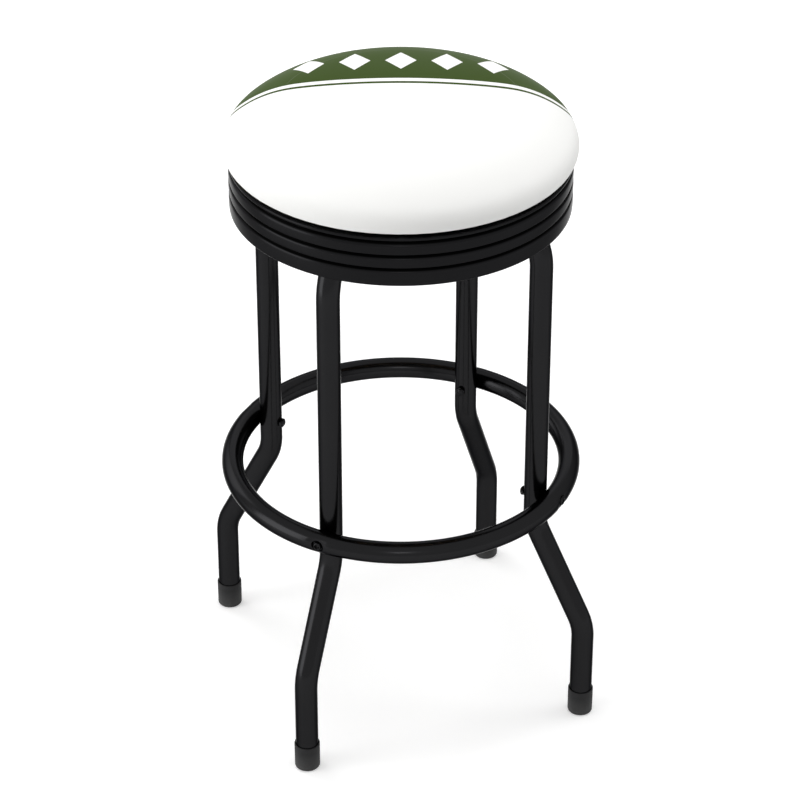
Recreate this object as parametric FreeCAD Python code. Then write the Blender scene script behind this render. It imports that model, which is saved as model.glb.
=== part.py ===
import FreeCAD, Part
import math
import os

V = FreeCAD.Vector
UP = V(0, 0, 1)

# Round swivel bar stool. Millimetres, heights above the floor, origin on the floor under the seat's centre.
# Angles are in degrees from +X; the legs stand on the diagonals.

# Leg frames: two bent tubes, each with two legs and a crossbar under the seat
leg_tube_d = 25.4
leg_wall = 1.2
leg_circle_r = 168.0
foot_circle_r = 231.5
lower_knee_z = 119.0
upper_knee_z = 243.0
knee_bend_r = 60.0
crossbar_z = 646.0
stud_to_bend = 7.0
round_sides = 12
lower_frame_deg = 45.0
upper_frame_deg = 135.0

# Pressed half lap where the crossbars cross
lap_clearance = 0.8
lap_ramp = 14.0

# Rubber foot caps
cap_d = 28.6
cap_h = 32.0
cap_base_t = 4.0
cap_chamfer = 1.6
cap_fit = 0.05

# Foot ring, its bolts and their domed nuts
ring_tube_d = 24.2
ring_z = 280.0
saddle_depth = 2.3
saddle_fit = 0.05
dish_depth = 4.2
dish_floor_d = 13.0
dish_rim_d = 15.0
ring_bolt_d = 6.0
ring_bolt_head_d = 9.6
ring_bolt_head_h = 4.0
acorn_across_flats = 10.0
acorn_hex_h = 3.3
acorn_dome_d = 8.6
acorn_dome_h = 2.0
hole_clearance = 0.1

# Swivel between the crossbars and the seat board
swivel_h = 9.3
swivel_plate_w = 160.0
swivel_plate_t = 2.5
swivel_corner = 14.0
swivel_hole_pitch = 120.0
race_circle_r = 45.0
race_half_w = 3.0
race_depth = 1.3
ball_d = 6.35
ball_count = 12
ball_sides = 8
ball_level_deg = (-67.5, -22.5, 22.5, 67.5)
ball_fit = 0.05
pivot_d = 16.0
pivot_flange_d = 24.0
pivot_flange_t = 2.0
pivot_fit = 0.1
pivot_recess = 1.0

# Studs and nuts that hold the lower plate, screws that hold the upper one
stud_d = 6.0
stud_past_nut = 2.0
washer_d = 12.0
washer_t = 1.6
nut_across_flats = 10.0
nut_h = 6.0
board_screw_d = 5.0
board_screw_head_d = 9.6
board_screw_bite = 10.0

# Seat board, foam and vinyl cover, the board set in from the band and the cushion standing out past it
board_inset = 8.5
board_t = 13.0
cover_t = 1.0
hem_w = 22.0
foam_fit = 0.2
cushion_overhang = 6.5
cushion_widest_h = 12.0
cushion_crown_h = 68.6
edge_r = 26.0
shoulder_r = 120.0
shoulder_deg = 42.0
tuck_r = 9.0
tuck_deg = 62.0
cover_chord_count = (2, 3, 4, 2)
foam_chord_count = (1, 2, 2, 1)

# Staples through the cover's hem
staple_count = 8
staple_w = 11.0
staple_wire = 1.2
staple_leg = 6.0
staple_inset = 16.5
staple_fit = 0.05

# Ribbed metal band under the cushion, as far outside the legs' centres as it needs to clear their bends
band_over_leg = 16.0
band_h = 57.0
band_wall = 1.0
band_edge = 1.5
band_groove_depth = 1.5
band_groove_w = 4.0
band_groove_pitch = 15.7
band_first_groove = 6.4
band_groove_count = 3
band_flange_w = 20.0
band_screw_count = 4
band_screw_d = 4.0
band_screw_head_d = 8.0
band_screw_head_h = 1.8
band_screw_bite = 8.0

# Heights and radii that follow from the sizes above
leg_r = leg_tube_d / 2
ring_r = ring_tube_d / 2
ring_circle_r = leg_circle_r + leg_r + ring_r - saddle_depth
band_r = leg_circle_r + band_over_leg
board_r = band_r - board_inset
cushion_r = band_r + cushion_overhang
staple_circle_r = board_r - staple_inset
crossbar_top_z = crossbar_z + leg_r
washer_z = crossbar_z - leg_r - washer_t
nut_z = washer_z - nut_h
board_z = crossbar_top_z + swivel_h
swivel_mid_z = crossbar_top_z + swivel_h / 2
hem_z = board_z - cover_t
swivel_hole_r = swivel_hole_pitch / math.sqrt(2)
shoulder_bend_r = leg_circle_r - swivel_hole_r - stud_to_bend
band_screw_circle_r = band_r - band_flange_w / 2 - band_groove_depth - band_wall
leg_angles = [lower_frame_deg, upper_frame_deg, lower_frame_deg + 180, upper_frame_deg + 180]


def at(angle, r, z):
    turn = math.radians(angle)
    return V(r * math.cos(turn), r * math.sin(turn), z)


def around(count, start=0.0):
    return [start + i * 360.0 / count for i in range(count)]


def polygon(points):
    return Part.makePolygon(points + points[:1])


def prism(points, depth):
    return Part.Face(polygon(points)).extrude(depth)


def turned(profile):
    """Solid of revolution about Z from a closed (r, z) outline."""
    return Part.Face(polygon([V(r, 0, z) for r, z in profile])).revolve(V(0, 0, 0), UP, 360)


def corner_r(flat_r):
    """How far out the corners lie when the flats of a many-sided round lie at flat_r."""
    return flat_r / math.cos(math.pi / round_sides)


def flat_sided(profile, sides):
    """Solid of flat faces about Z, with flat ends, from the corner radius and height of each of its rows."""
    rows = [[at(a, r, z) for a in around(sides)] for r, z in profile]
    faces = [Part.Face(polygon(rows[0])), Part.Face(polygon(rows[-1]))]
    for low, high in zip(rows, rows[1:]):
        for i in range(sides):
            j = (i + 1) % sides
            faces.append(Part.Face(polygon([low[i], low[j], high[j], high[i]])))
    return Part.Solid(Part.Shell(faces))


def spindle(profile):
    """Small round piece or drill about Z, drawn in flats that lie on the true radii of its profile."""
    return flat_sided([(corner_r(r), z) for r, z in profile], round_sides)


def bar(diameter, length):
    return spindle([(diameter / 2, 0), (diameter / 2, length)])


def hexagon(across_flats, height):
    return prism([at(a, across_flats / math.sqrt(3), 0) for a in around(6)], UP * height)


def moved(shape, place):
    out = shape.copy()
    out.translate(place)
    return out


def facing_out(shape, angle, r, z):
    """A piece drawn along +Z at the origin, laid to point away from the stool's axis."""
    out = shape.copy()
    out.rotate(V(0, 0, 0), V(0, 1, 0), 90)
    out.rotate(V(0, 0, 0), UP, angle)
    out.translate(at(angle, r, z))
    return out


def bent_path(corners, radii):
    """Straight runs through the corners, joined by tangent arcs; the two ends have no radius."""
    edges = []
    start = corners[0]
    for before, corner, after, radius in zip(corners, corners[1:], corners[2:], radii):
        back = (before - corner).normalize()
        ahead = (after - corner).normalize()
        inward = (back + ahead).normalize()
        half_turn = (math.pi - back.getAngle(ahead)) / 2
        enter = corner + back * (radius * math.tan(half_turn))
        leave = corner + ahead * (radius * math.tan(half_turn))
        middle = corner + inward * (radius / math.cos(half_turn) - radius)
        edges.append(Part.makeLine(start, enter))
        edges.append(Part.Arc(enter, middle, leave).toShape())
        start = leave
    edges.append(Part.makeLine(start, corners[-1]))
    return Part.Wire(edges)


def tube_section(angle, r, z, flat_r):
    """Level section of a leg tube in flats, which face along and across the frame."""
    turns = around(round_sides, angle + 180 / round_sides)
    return [at(angle, r, z) + at(turn, corner_r(flat_r), 0) for turn in turns]


def leg_path(angle):
    """From one foot up its leg, across under the seat, and down to the other foot."""
    side = [
        (foot_circle_r, cap_base_t),
        (foot_circle_r, lower_knee_z),
        (leg_circle_r, upper_knee_z),
        (leg_circle_r, crossbar_z),
    ]
    bends = [knee_bend_r, knee_bend_r, shoulder_bend_r]
    corners = [at(angle, r, z) for r, z in side]
    corners += [at(angle, -r, z) for r, z in reversed(side)]
    return bent_path(corners, bends + bends[::-1])


def lap_press(angle, up, inset):
    """What the press takes off a crossbar at the crossing, above it (up = 1) or below (up = -1)."""
    flat = leg_r + lap_clearance + inset
    near = crossbar_z - up * inset
    far = crossbar_z + up * leg_tube_d
    ramp = lap_ramp * (far - near) / (up * leg_r)
    outline = [(-flat, near), (flat, near), (flat + ramp, far), (-flat - ramp, far)]
    across = at(angle + 90, leg_tube_d, 0)
    return prism([at(angle, s, z) - across for s, z in outline], across * 2)


def leg_frame(angle, up):
    """Bent tube with its pressed crossing, drilled for the plate's studs and the ring's bolts."""
    path = leg_path(angle)
    outside = tube_section(angle, foot_circle_r, cap_base_t, leg_r)
    inside = tube_section(angle, foot_circle_r, cap_base_t, leg_r - leg_wall)
    rod = path.makePipeShell([polygon(outside)], True, False)
    bore = path.makePipeShell([polygon(inside)], True, False)
    tube = rod.cut(lap_press(angle, up, 0)).cut(bore.cut(lap_press(angle, up, leg_wall)))
    stud_drill = bar(stud_d + 2 * hole_clearance, 2 * leg_tube_d)
    bolt_drill = bar(ring_bolt_d + 2 * hole_clearance, 2 * leg_tube_d)
    drills = []
    for side in (angle, angle + 180):
        drills.append(moved(stud_drill, at(side, swivel_hole_r, crossbar_z - leg_tube_d)))
        drills.append(facing_out(bolt_drill, side, leg_circle_r - leg_tube_d, ring_z))
    return [tube.cut(drills)]


def foot_caps():
    cap = turned([
        (0, 0),
        (cap_d / 2 - cap_chamfer, 0),
        (cap_d / 2, cap_chamfer),
        (cap_d / 2, cap_h),
        (0, cap_h),
    ])
    caps = []
    for angle in leg_angles:
        socket = prism(tube_section(angle, foot_circle_r, cap_base_t, leg_r + cap_fit), UP * cap_h)
        caps.append(moved(cap, at(angle, foot_circle_r, 0)).cut(socket))
    return caps


def foot_ring():
    """Ring of round tube, pressed to a saddle against each leg and dished for each bolt head."""
    corners = [at(a, corner_r(ring_r), 0) for a in around(round_sides, 180 / round_sides)]
    ring = turned([(ring_circle_r + corner.x, ring_z + corner.y) for corner in corners])
    dish = spindle([(dish_floor_d / 2, 0), (dish_rim_d / 2, dish_depth)])
    drill = bar(ring_bolt_d + 2 * hole_clearance, 2 * ring_tube_d)
    cuts = []
    for angle in leg_angles:
        leg = tube_section(angle, leg_circle_r, ring_z - ring_tube_d, leg_r + saddle_fit)
        cuts.append(prism(leg, UP * 2 * ring_tube_d))
        cuts.append(facing_out(dish, angle, ring_circle_r + ring_r - dish_depth, ring_z))
        cuts.append(facing_out(drill, angle, ring_circle_r - ring_tube_d, ring_z))
    return [ring.cut(cuts)]


def headed(shank_d, head_d, head_h, length):
    """Low domed head above z = 0 and a plain shank below it."""
    return spindle([
        (shank_d / 2, -length),
        (shank_d / 2, 0),
        (head_d / 2, 0),
        (head_d / 2, head_h / 2),
        (head_d / 3, head_h),
    ])


def ring_bolts():
    dish_floor_r = ring_circle_r + ring_r - dish_depth
    length = dish_floor_r - leg_circle_r + leg_r + acorn_hex_h
    bolt = headed(ring_bolt_d, ring_bolt_head_d, ring_bolt_head_h, length)
    return [facing_out(bolt, angle, dish_floor_r, ring_z) for angle in leg_angles]


def ring_acorn_nuts():
    """Domed nuts inside the legs, drawn with their faces on z = 0 and their domes below."""
    top = acorn_hex_h + acorn_dome_h
    dome = spindle([(acorn_dome_d / 2, acorn_hex_h), (acorn_dome_d / 4, top)])
    bore = bar(ring_bolt_d + 2 * hole_clearance, acorn_hex_h + hole_clearance)
    nut = hexagon(acorn_across_flats, acorn_hex_h).fuse(dome).cut(bore)
    nut.rotate(V(0, 0, 0), V(0, 1, 0), 180)
    return [facing_out(nut, angle, leg_circle_r - leg_r, ring_z) for angle in leg_angles]


def hole_places():
    return [at(angle, swivel_hole_r, 0) for angle in leg_angles]


def swivel_plate(centre_d, hole_cutters):
    """Plate with its back on z = 0, a V groove for the balls in its face, and its holes."""
    half = swivel_plate_w / 2
    cut = half - swivel_corner
    corners = [(half, -cut), (half, cut), (cut, half), (-cut, half)]
    corners += [(-x, -y) for x, y in corners]
    plate = prism([V(x, y, 0) for x, y in corners], UP * swivel_plate_t)
    rest = ball_d / 2 / math.cos(math.atan2(race_depth, race_half_w)) + ball_fit
    bottom = swivel_h / 2 - rest
    over = swivel_plate_t + race_depth
    spread = (over - bottom) * race_half_w / race_depth
    groove = turned([(race_circle_r - spread, over), (race_circle_r, bottom), (race_circle_r + spread, over)])
    centre = Part.makeCylinder(centre_d / 2, swivel_plate_t)
    return plate.cut([groove, centre] + hole_cutters)


def swivel_lower_plate():
    return [moved(swivel_plate(pivot_d, []), V(0, 0, crossbar_top_z))]


def swivel_upper_plate():
    sink = spindle([
        (board_screw_d / 2 + hole_clearance, 0),
        (board_screw_head_d / 2 + hole_clearance, swivel_plate_t),
    ])
    plate = swivel_plate(pivot_d + 2 * pivot_fit, [moved(sink, place) for place in hole_places()])
    plate.rotate(V(0, 0, 0), V(1, 0, 0), 180)
    return [moved(plate, V(0, 0, board_z))]


def swivel_balls():
    """Ring of balls, each of three bands of flat faces and two ends, their corners on the true ball."""
    levels = [math.radians(level) for level in ball_level_deg]
    profile = [(ball_d / 2 * math.cos(level), ball_d / 2 * math.sin(level)) for level in levels]
    ball = flat_sided(profile, ball_sides)
    return [moved(ball, at(angle, race_circle_r, swivel_mid_z)) for angle in around(ball_count)]


def swivel_pivot():
    """Centre pin, fixed in the lower plate; its flange above the upper plate keeps the seat on."""
    flange_z = swivel_h + pivot_fit
    pin = turned([
        (0, 0),
        (pivot_d / 2, 0),
        (pivot_d / 2, flange_z),
        (pivot_flange_d / 2, flange_z),
        (pivot_flange_d / 2, flange_z + pivot_flange_t),
        (0, flange_z + pivot_flange_t),
    ])
    return [moved(pin, V(0, 0, crossbar_top_z))]


def swivel_studs():
    """Studs welded under the lower plate, down through both walls of the crossbars."""
    length = crossbar_top_z - nut_z + stud_past_nut
    stud = moved(bar(stud_d, length), V(0, 0, crossbar_top_z - length))
    return [moved(stud, place) for place in hole_places()]


def stud_washers():
    washer = bar(washer_d, washer_t).cut(bar(stud_d + 2 * hole_clearance, washer_t))
    return [moved(washer, place + UP * washer_z) for place in hole_places()]


def stud_nuts():
    nut = hexagon(nut_across_flats, nut_h).cut(bar(stud_d + 2 * hole_clearance, nut_h))
    return [moved(nut, place + UP * nut_z) for place in hole_places()]


def board_screws(grow=0.0):
    """Flat-headed screws up through the upper plate into the board; grown, they are their own holes."""
    head_h = swivel_plate_t
    screw = spindle([
        (board_screw_head_d / 2 + grow, 0),
        (board_screw_d / 2 + grow, head_h),
        (board_screw_d / 2 + grow, head_h + board_screw_bite + grow),
    ])
    return [moved(screw, place + UP * (board_z - head_h)) for place in hole_places()]


def band_screws(grow=0.0):
    """Screws up through the band's flange and the hem into the board."""
    flange_z = hem_z - band_wall
    length = band_wall + cover_t + band_screw_bite + grow
    screw = headed(band_screw_d + 2 * grow, band_screw_head_d, band_screw_head_h, length)
    screw.rotate(V(0, 0, 0), V(1, 0, 0), 180)
    places = [at(angle, band_screw_circle_r, flange_z) for angle in around(band_screw_count)]
    return [moved(screw, place) for place in places]


def cover_staples(grow=0.0):
    """Wire staples up through the hem, crowns on the hem; grown, they are their own holes."""
    half = staple_w / 2 + grow
    inner = staple_w / 2 - staple_wire - grow
    low = -staple_wire - grow
    top = cover_t + staple_leg + grow
    outline = [(-half, low), (half, low), (half, top), (inner, top), (inner, 0), (-inner, 0), (-inner, top),
               (-half, top)]
    thick = staple_wire + 2 * grow
    staple = prism([V(-thick / 2, s, z) for s, z in outline], V(thick, 0, 0))
    staples = []
    for angle in around(staple_count, 180.0 / staple_count):
        laid = staple.copy()
        laid.rotate(V(0, 0, 0), UP, angle)
        staples.append(moved(laid, at(angle, staple_circle_r, hem_z)))
    return staples


def seat_board():
    board = Part.makeCylinder(board_r, board_t, V(0, 0, board_z))
    recess = moved(bar(pivot_flange_d + 2 * pivot_recess, board_t), V(0, 0, board_z))
    fixings = board_screws(hole_clearance) + band_screws(hole_clearance) + cover_staples(staple_fit)
    return [board.cut([recess] + fixings)]


def cushion_line(inset, chords):
    """Points down the cushion's side: crown, shoulder, edge and tuck arcs, set in by the inset.

    The edge arc is centred level with the widest line, the shoulder arc meets it at shoulder_deg from the
    vertical, and the crown arc is centred on the axis and meets the shoulder arc. The chords are the number
    of straight bevels along each arc.
    """
    widest_z = board_z + cushion_widest_h
    top_z = board_z + cushion_crown_h
    shoulder = math.radians(shoulder_deg)
    edge_c = cushion_r - edge_r
    shoulder_c = edge_c - math.sin(shoulder) * (shoulder_r - edge_r)
    shoulder_cz = widest_z - math.cos(shoulder) * (shoulder_r - edge_r)
    rise = top_z - shoulder_cz
    crown_r = (shoulder_c ** 2 + rise ** 2 - shoulder_r ** 2) / (2 * (rise - shoulder_r))
    crown_cz = top_z - crown_r
    crown = math.atan2(shoulder_c, shoulder_cz - crown_cz)
    level = math.pi / 2
    spans = [
        (0, crown_cz, crown_r, 0, crown),
        (shoulder_c, shoulder_cz, shoulder_r, crown, shoulder),
        (edge_c, widest_z, edge_r, shoulder, level),
        (cushion_r - tuck_r, widest_z, tuck_r, level, level + math.radians(tuck_deg)),
    ]
    points = [(0, top_z - inset)]
    for (centre, height, radius, first, last), count in zip(spans, chords):
        for i in range(1, count + 1):
            turn = first + (last - first) * i / count
            reach = radius - inset
            points.append((centre + reach * math.sin(turn), height + reach * math.cos(turn)))
    return points


def foam_outline():
    return cushion_line(cover_t + foam_fit, foam_chord_count) + [(board_r + foam_fit, board_z)]


def seat_foam():
    """Bevelled foam that wraps the board's top and edge."""
    board_top = board_z + board_t
    return [turned(foam_outline() + [(board_r + foam_fit, board_top), (0, board_top)])]


def seat_cover():
    """Vinyl skin over the foam, drawn in under the board's edge to a flat hem."""
    filled = turned(cushion_line(0, cover_chord_count) + [(board_r + cover_t, hem_z), (0, hem_z)])
    inside = turned(foam_outline() + [(0, board_z)])
    opening = Part.makeCylinder(board_r - hem_w, board_t, V(0, 0, hem_z))
    fixings = band_screws(hole_clearance) + cover_staples(staple_fit)
    return [filled.cut([inside, opening] + fixings)]


def trim_band():
    """Ribbed hoop with a chamfered lower edge and a flange folded in under the cushion."""
    inner_r = band_r - band_groove_depth - band_wall
    bottom = hem_z - band_h
    outline = [(band_r - band_edge, hem_z), (band_r, hem_z - band_edge)]
    for i in range(band_groove_count):
        z = hem_z - band_first_groove - i * band_groove_pitch
        outline.append((band_r, z + band_groove_w / 2))
        outline.append((band_r - band_groove_depth, z))
        outline.append((band_r, z - band_groove_w / 2))
    outline += [
        (band_r, bottom + band_edge),
        (band_r - band_edge, bottom),
        (inner_r, bottom),
        (inner_r, hem_z - band_wall),
        (inner_r - band_flange_w, hem_z - band_wall),
        (inner_r - band_flange_w, hem_z),
    ]
    return [turned(outline).cut(band_screws(hole_clearance))]


def save(node, solids):
    shape = solids[0] if len(solids) == 1 else Part.makeCompound(solids)
    shape.exportStep(os.path.join("parts", node + ".step"))
    volume = sum(solid.Volume for solid in solids)
    print(f"{node}: {len(shape.Solids)} solids, {volume:.1f} cubic mm, valid {shape.isValid()}")


def main():
    os.makedirs("parts", exist_ok=True)
    save("leg_frame_lower", leg_frame(lower_frame_deg, 1))
    save("leg_frame_upper", leg_frame(upper_frame_deg, -1))
    save("foot_caps", foot_caps())
    save("foot_ring", foot_ring())
    save("ring_bolts", ring_bolts())
    save("ring_acorn_nuts", ring_acorn_nuts())
    save("swivel_lower_plate", swivel_lower_plate())
    save("swivel_studs", swivel_studs())
    save("stud_washers", stud_washers())
    save("stud_nuts", stud_nuts())
    save("swivel_pivot", swivel_pivot())
    save("swivel_balls", swivel_balls())
    save("swivel_upper_plate", swivel_upper_plate())
    save("board_screws", board_screws())
    save("seat_board", seat_board())
    save("seat_foam", seat_foam())
    save("seat_cover", seat_cover())
    save("cover_staples", cover_staples())
    save("trim_band", trim_band())
    save("band_screws", band_screws())


main()
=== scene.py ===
import math
import bmesh
import bpy
import numpy as np
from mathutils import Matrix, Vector


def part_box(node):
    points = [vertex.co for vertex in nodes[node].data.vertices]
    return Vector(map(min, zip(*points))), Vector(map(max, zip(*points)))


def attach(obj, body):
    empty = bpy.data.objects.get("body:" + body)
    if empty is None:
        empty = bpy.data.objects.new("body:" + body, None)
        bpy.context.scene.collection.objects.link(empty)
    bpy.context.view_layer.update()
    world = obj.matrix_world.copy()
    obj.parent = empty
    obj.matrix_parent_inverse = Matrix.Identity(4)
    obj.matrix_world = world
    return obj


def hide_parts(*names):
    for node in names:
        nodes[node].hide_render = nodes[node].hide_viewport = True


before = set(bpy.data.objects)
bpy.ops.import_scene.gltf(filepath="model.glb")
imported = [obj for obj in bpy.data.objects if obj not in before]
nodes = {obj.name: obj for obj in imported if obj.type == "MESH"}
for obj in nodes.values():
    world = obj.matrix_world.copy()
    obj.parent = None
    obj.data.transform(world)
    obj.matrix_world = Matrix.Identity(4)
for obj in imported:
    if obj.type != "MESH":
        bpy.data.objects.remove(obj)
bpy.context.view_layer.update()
print("frame loaded:", len(nodes), "CAD nodes")

# lengths below are millimetres unless a note says otherwise; points become metres as they enter a mesh
mm = 0.001


def boxOf(node):
    # lowest and highest corner of a CAD node, millimetres
    low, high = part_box(node)
    return np.array(low) / mm, np.array(high) / mm


# places that the dressed pieces share with the CAD model
ringLow, ringHigh = boxOf("foot_ring")
boardLow, boardHigh = boxOf("seat_board")
coverLow, coverHigh = boxOf("seat_cover")
bandLow, bandHigh = boxOf("trim_band")
frameHigh = boxOf("leg_frame_lower")[1]
place = {
    "legAngles": (45, 135, 225, 315),  # degrees from +X
    "ringZ": (ringLow[2] + ringHigh[2]) / 2,
    "boardZ": boardLow[2],
    "boardTop": boardHigh[2],
    "boardR": boardHigh[0],
    "hemZ": coverLow[2],
    "seatTop": coverHigh[2],
    "seatR": coverHigh[0],
    "crossbarTop": frameHigh[2],
}


# shapes: every surface is a grid of points worked out as whole arrays


def gridQuads(rows, cols, closeRows=False, closeCols=False):
    # four corner numbers for each cell of a grid whose point (i, j) has the number i * cols + j
    i, j = np.meshgrid(
        np.arange(rows - (not closeRows)), np.arange(cols - (not closeCols)), indexing="ij")
    down, along = (i + 1) % rows, (j + 1) % cols
    cells = np.stack([i * cols + j, i * cols + along, down * cols + along, down * cols + j], axis=-1)
    return cells.reshape(-1, 4)


def makePiece(name, points, faces, sharpDeg=None):
    # a mesh object at the origin from points in millimetres; doubles merge and faces turn outwards
    mesh = bpy.data.meshes.new(name)
    mesh.from_pydata((np.reshape(points, (-1, 3)) * mm).tolist(), [], np.asarray(faces).tolist())
    shape = bmesh.new()
    shape.from_mesh(mesh)
    bmesh.ops.remove_doubles(shape, verts=shape.verts, dist=1e-6)
    bmesh.ops.recalc_face_normals(shape, faces=shape.faces)
    shape.to_mesh(mesh)
    shape.free()
    mesh.shade_smooth()
    if sharpDeg:
        mesh.set_sharp_from_angle(angle=math.radians(sharpDeg))
    piece = bpy.data.objects.new(name, mesh)
    bpy.context.scene.collection.objects.link(piece)
    return piece


def polar(r, turn, z):
    # points (r cos turn, r sin turn, z), where the three arrays fit each other
    return np.stack([r * np.cos(turn), r * np.sin(turn), z + 0 * turn], axis=-1)


def fullTurn(count):
    # equal angles once round, without the last one
    return np.linspace(0, 2 * np.pi, count, endpoint=False)


def lathe(profile, sides):
    # profile point i turned about Z by 2 pi j / sides
    return polar(profile[:, :1], fullTurn(sides), profile[:, 1:])


def runLengths(line):
    # how far each point of a line is from its start, measured along it
    return np.r_[0, np.cumsum(np.linalg.norm(np.diff(line, axis=0), axis=1))]


def bentLine(corners, radii, spacing, stepDeg=6):
    # straight runs through the corners joined by tangent arcs; an arc starts radius * tan(turn / 2)
    # before its corner, and runs get points at the spacing
    corners = [np.array(corner, float) for corner in corners]
    arcs = [corners[0][None]]
    for before, corner, after, radius in zip(corners, corners[1:], corners[2:], radii):
        back = (before - corner) / np.linalg.norm(before - corner)
        ahead = (after - corner) / np.linalg.norm(after - corner)
        half = (np.pi - np.arccos(np.clip(back @ ahead, -1, 1))) / 2
        inward = (back + ahead) / np.linalg.norm(back + ahead)
        forward = (ahead - back) / np.linalg.norm(ahead - back)
        steps = 2 + int(np.degrees(2 * half) / stepDeg)
        sweep = np.linspace(-half, half, steps)[:, None]
        middle = corner + inward * radius / np.cos(half)
        arcs.append(middle + radius * (forward * np.sin(sweep) - inward * np.cos(sweep)))
    arcs.append(corners[-1][None])
    line = [arcs[0]]
    for last, arc in zip(arcs, arcs[1:]):
        run = arc[0] - last[-1]
        share = np.linspace(0, 1, 1 + int(np.linalg.norm(run) / spacing), endpoint=False)[1:, None]
        line += [last[-1] + run * share, arc]
    return np.concatenate(line)


def turnedOut(points, angle, r, z):
    # a shape drawn along +Z, laid to point away from the stool's axis at that angle, radius and height
    a = math.radians(angle)
    out = r + points[..., 2]
    across = points[..., 1]
    return np.stack([
        out * math.cos(a) - across * math.sin(a),
        out * math.sin(a) + across * math.cos(a),
        z - points[..., 0]], axis=-1)


def atLegs(shape, r):
    # the shape once at each leg, pointing outwards from the radius r at the foot ring's height
    return [turnedOut(shape, angle, r, place["ringZ"]) for angle in place["legAngles"]]


def several(shapes):
    # equal grids of points, closed round, as one list of points and one of faces
    rows, cols = shapes[0].shape[:2]
    faces = gridQuads(rows, cols, closeCols=True)
    points = np.concatenate([shape.reshape(-1, 3) for shape in shapes])
    return points, np.concatenate([faces + rows * cols * k for k in range(len(shapes))])


def smoothMax(a, b, blend):
    # the larger of two values, with the corner rounded over about the blend
    return b + blend * np.logaddexp(0, (a - b) / blend)


def easeStep(t):
    # 0 to 1 with level ends: 3 t^2 - 2 t^3
    t = np.clip(t, 0, 1)
    return t * t * (3 - 2 * t)


# materials: a Value is one socket, and sums and products of Values build their Math nodes


class Value:
    def __init__(self, paint, node, output=0):
        self.paint = paint
        self.node = node
        self.socket = node.outputs[output]

    def other(self, output):
        return Value(self.paint, self.node, output)

    def __add__(self, other):
        return self.paint.maths("ADD", self, other)

    def __radd__(self, other):
        return self.paint.maths("ADD", other, self)

    def __sub__(self, other):
        return self.paint.maths("SUBTRACT", self, other)

    def __rsub__(self, other):
        return self.paint.maths("SUBTRACT", other, self)

    def __mul__(self, other):
        return self.paint.maths("MULTIPLY", self, other)

    def __rmul__(self, other):
        return self.paint.maths("MULTIPLY", other, self)

    def __truediv__(self, other):
        return self.paint.maths("DIVIDE", self, other)

    def __rtruediv__(self, other):
        return self.paint.maths("DIVIDE", other, self)

    def __abs__(self):
        return self.paint.maths("ABSOLUTE", self)


class Paint:
    # the node tree of one material or world
    def __init__(self, owner):
        self.owner = owner
        owner.use_nodes = True
        self.tree = owner.node_tree
        self.tree.nodes.clear()

    def add(self, kind, settings=None, values=None, output=0):
        # any node: its type, its settings, its sockets' values or links, and the output that is wanted
        node = self.tree.nodes.new("ShaderNode" + kind)
        for name, setting in (settings or {}).items():
            setattr(node, name, setting)
        for name, value in (values or {}).items():
            if isinstance(value, Value):
                self.tree.links.new(value.socket, node.inputs[name])
            else:
                node.inputs[name].default_value = value
        return Value(self, node, output)

    def maths(self, operation, *parts):
        return self.add("Math", {"operation": operation}, dict(enumerate(parts)))

    def clamp(self, value):
        # held between 0 and 1
        return self.add("Clamp", {}, {0: value})

    def mix(self, share, first, second):
        # colours blended by a share from 0 to 1
        def four(colour):
            return colour if isinstance(colour, Value) else (*colour, 1)
        return self.add("Mix", {"data_type": "RGBA"}, {0: share, 6: four(first), 7: four(second)}, 2)

    def noise(self, where, scale, detail, roughness=0.5):
        return self.add("TexNoise", {}, {
            "Vector": where, "Scale": scale, "Detail": detail, "Roughness": roughness}, "Fac")

    def bump(self, height, relief):
        # the normal of a pattern whose height 1 stands the relief's depth proud
        depth, strength = relief
        return self.add("Bump", {}, {"Height": height, "Distance": depth, "Strength": strength}, "Normal")

    def position(self):
        return self.add("TexCoord", output="Object")

    def heightOf(self, vector):
        # the upright part of a place or a direction
        return self.add("SeparateXYZ", {}, {0: vector}, "Z")

    def stretched(self, where, scale):
        # places times a scale for each axis, so that a pattern runs along one of them
        return self.add("Mapping", {}, {"Vector": where, "Scale": scale})

    def surface(self, values):
        shader = self.add("BsdfPrincipled", {}, values)
        self.addOutput(shader)
        return self.owner

    def addOutput(self, shader, kind="OutputMaterial"):
        out = self.tree.nodes.new("ShaderNode" + kind)
        self.tree.links.new(shader.socket, out.inputs["Surface"])


def newPaint(name):
    # the empty node tree of a new material
    return Paint(bpy.data.materials.new(name))


def screen(red, green, blue):
    # a colour as a screen shows it, 0 to 255, to the light that a shader works with
    share = np.array([red, green, blue]) / 255
    return tuple(np.where(share <= 0.04045, share / 12.92, ((share + 0.055) / 1.055) ** 2.4).tolist())


# finishes: scales are waves or grains per metre, a relief is its depth in metres and its strength, and
# shares say how much each pattern has in a sum

coatLooks = {
    # gloss black is worked out as a dark mirror whose edges stay dark: colour is what it throws back
    # head on, and edgeTint how much of the light it throws back near the edge
    "legCoat": {
        "colour": screen(33, 33, 34),
        "worn": screen(38, 38, 39),
        "roughness": (0.17, 0.24),
        "edgeTint": 0.43,
    },
    "bandCoat": {
        "colour": screen(25, 25, 26),
        "worn": screen(29, 29, 30),
        "roughness": (0.2, 0.28),
        "edgeTint": 0.52,
    },
}
coatDetail = {
    "grooveHalf": 1.8,  # millimetres
    "grooveBlur": 1.2,
    # painted shade: the near-black colour painted over the grooves, where shade falls
    "grooveShadeColour": screen(3, 3, 3),
    "cloud": 14,
    "specks": 1500,
    "speckFrom": 0.72,
    "speckSharpness": 8,
    "shares": (0.8, 0.5),  # cloud and specks
    "orangePeel": 420,
    "peelRelief": (0.00004, 0.35),
}


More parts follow.
